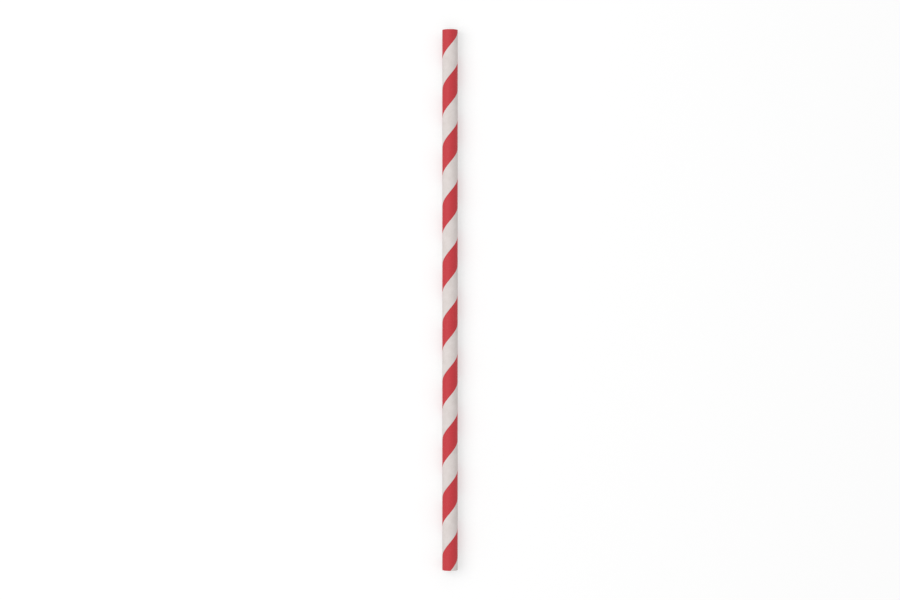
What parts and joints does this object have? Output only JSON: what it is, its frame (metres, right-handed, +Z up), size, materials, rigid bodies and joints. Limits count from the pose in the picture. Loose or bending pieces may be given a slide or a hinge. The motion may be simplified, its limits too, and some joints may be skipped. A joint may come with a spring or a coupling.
{
  "type": "paper drinking straw",
  "caption": "Straight drinking straw, spiral wound from glued paper strips and open at both ends, with a stripe that climbs the tube. Carries a drink from a cup to the mouth.",
  "frame": {"origin": "under the middle of the straw, on the surface it lies on, straight below its axis", "axes": "+Y along the straw's axis, +Z up away from the surface it lies on"},
  "size_m": [0.006, 0.21, 0.006],
  "materials": {
    "paper": "matt uncoated food-grade paper, with one red printed stripe outside"
  },
  "bodies": {
    "root": {"straw": "paper"}
  },
  "joints": []
}
